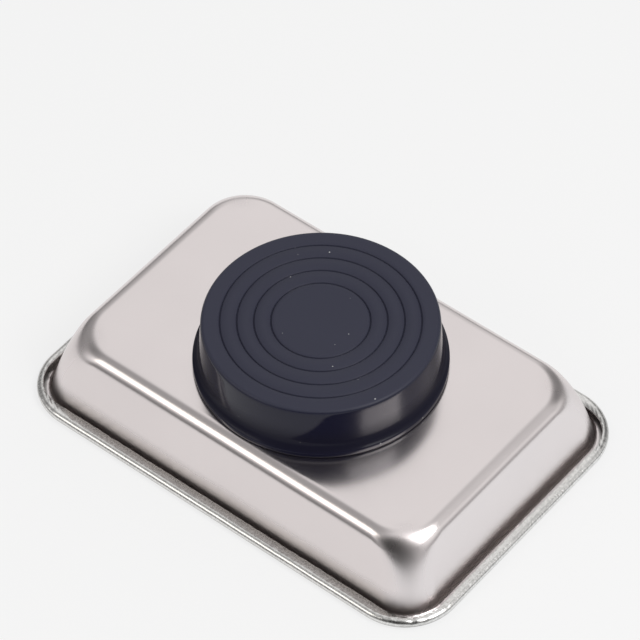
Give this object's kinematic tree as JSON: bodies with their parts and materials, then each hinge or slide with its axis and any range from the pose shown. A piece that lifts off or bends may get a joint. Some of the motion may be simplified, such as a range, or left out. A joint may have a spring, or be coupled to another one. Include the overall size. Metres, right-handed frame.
{
  "type": "magnetic parts tray",
  "caption": "Rectangular stainless parts tray with a rolled rim, lying upside down to show the round rubber-booted magnet foot that holds it on steel.",
  "frame": {"origin": "middle of the rim plane that the upturned tray lies on", "axes": "+X along the tray's length, +Y across its width, +Z from the rim towards the magnet foot, so a tray in use is turned over about X or Y"},
  "size_m": [0.15, 0.104, 0.0405],
  "materials": {
    "steel": "drawn stainless sheet, soft satin with a slight wave",
    "stud": "bright turned steel",
    "foam": "matt black closed-cell foam",
    "plate": "zinc-plated pressed steel",
    "ferrite": "matt dark grey sintered ferrite",
    "cup": "pressed non-magnetic stainless",
    "washer": "dull zinc-plated spring steel",
    "nut": "yellow passivated zinc plate",
    "boot": "blue-black moulded rubber, satin face and glossy wall"
  },
  "bodies": {
    "root": {"pan": "steel", "weld_stud": "stud", "mounting_pad": "foam", "base_plate": "plate", "ring_magnet": "ferrite", "retainer_cup": "cup", "spring_washer": "washer", "hex_nut": "nut", "boot": "boot"}
  },
  "joints": []
}
